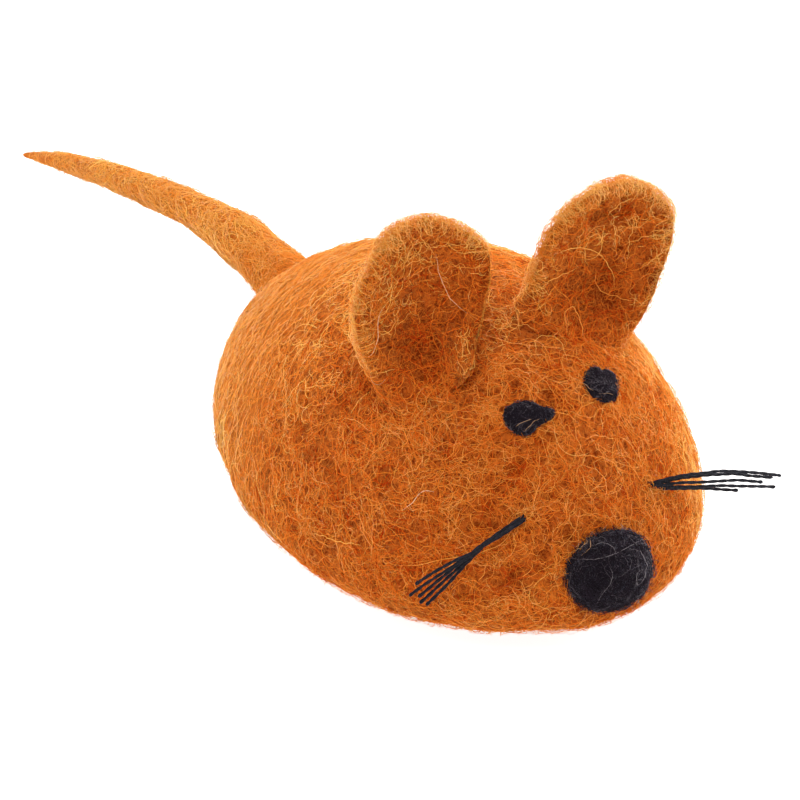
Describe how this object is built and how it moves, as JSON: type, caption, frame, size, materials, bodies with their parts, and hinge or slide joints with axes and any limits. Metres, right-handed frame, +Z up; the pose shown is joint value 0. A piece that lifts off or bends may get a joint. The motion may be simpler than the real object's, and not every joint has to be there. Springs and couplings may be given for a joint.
{
  "type": "felt toy mouse",
  "caption": "Needle-felted wool mouse with a flat belly, standing ears, a long tapered tail that bends, wool dot eyes, a round nose and thread whiskers.",
  "frame": {"origin": "centre of the flat belly, on the surface that the mouse stands on", "axes": "+X towards the nose along the tail-to-nose length, +Y to the mouse's left, +Z up"},
  "size_m": [0.1166, 0.0402, 0.0395],
  "materials": {
    "orange_felt": "matted wool felt with needle pits and loose fibres",
    "core_wool": "firm undyed wool",
    "eye_wool": "needled black wool",
    "nose_wool": "fuzzy black wool",
    "whisker_thread": "twisted sewing thread"
  },
  "bodies": {
    "body": {"body_core": "core_wool", "body_coat": "orange_felt", "belly_patch": "orange_felt", "eye_left": "eye_wool", "eye_right": "eye_wool", "nose": "nose_wool", "whisker_stitch": "whisker_thread"},
    "ear_left": {"ear_left": "orange_felt"},
    "ear_right": {"ear_right": "orange_felt"},
    "tail_1": {"tail_1": "orange_felt"},
    "tail_2": {"tail_2": "orange_felt"},
    "tail_3": {"tail_3": "orange_felt"},
    "tail_4": {"tail_4": "orange_felt"},
    "whiskers_left": {"whisker_left_1": "whisker_thread", "whisker_left_2": "whisker_thread", "whisker_left_3": "whisker_thread", "whisker_left_4": "whisker_thread", "whisker_left_5": "whisker_thread"},
    "whiskers_right": {"whisker_right_1": "whisker_thread", "whisker_right_2": "whisker_thread", "whisker_right_3": "whisker_thread", "whisker_right_4": "whisker_thread", "whisker_right_5": "whisker_thread"}
  },
  "joints": [
    {"name": "ear_left_fold", "type": "hinge", "parent": "body", "child": "ear_left", "pos_m": [0.01321, 0.00738, 0.02794], "axis": [0.0793, 0.9065, -0.4147], "range_deg": [-25, 30], "stiffness_Nm_per_rad": 0.003},
    {"name": "ear_right_fold", "type": "hinge", "parent": "body", "child": "ear_right", "pos_m": [0.01243, -0.00866, 0.02729], "axis": [0.0866, 0.99, 0.1115], "range_deg": [-25, 30], "stiffness_Nm_per_rad": 0.003},
    {"name": "tail_sway", "type": "hinge", "parent": "body", "child": "tail_1", "pos_m": [-0.0286, 0, 0.0114], "axis": [0, 0, 1], "range_deg": [-25, 25], "stiffness_Nm_per_rad": 0.001},
    {"name": "tail_lift", "type": "hinge", "parent": "tail_1", "child": "tail_2", "pos_m": [-0.041, 0, 0.01218], "axis": [0, 1, 0], "range_deg": [0, 35], "stiffness_Nm_per_rad": 0.001},
    {"name": "tail_sway_end", "type": "hinge", "parent": "tail_2", "child": "tail_3", "pos_m": [-0.055, 0, 0.00997], "axis": [0, 0, 1], "range_deg": [-25, 25], "stiffness_Nm_per_rad": 0.00015},
    {"name": "tail_lift_end", "type": "hinge", "parent": "tail_3", "child": "tail_4", "pos_m": [-0.069, 0, 0.00654], "axis": [0, 1, 0], "range_deg": [0, 35], "stiffness_Nm_per_rad": 0.0001},
    {"name": "whiskers_left_sweep", "type": "hinge", "parent": "body", "child": "whiskers_left", "pos_m": [0.026, 0.00605, 0.01465], "axis": [0, 0, -1], "range_deg": [-6, 30], "stiffness_Nm_per_rad": 0.0002},
    {"name": "whiskers_right_sweep", "type": "hinge", "parent": "body", "child": "whiskers_right", "pos_m": [0.0255, -0.0069, 0.01485], "axis": [0, 0, 1], "range_deg": [-6, 30], "stiffness_Nm_per_rad": 0.0002}
  ],
  "couplings": [
    {"joint": "tail_sway_end", "follows": "tail_sway", "ratio": 0.9},
    {"joint": "tail_lift_end", "follows": "tail_lift", "ratio": 0.9}
  ]
}
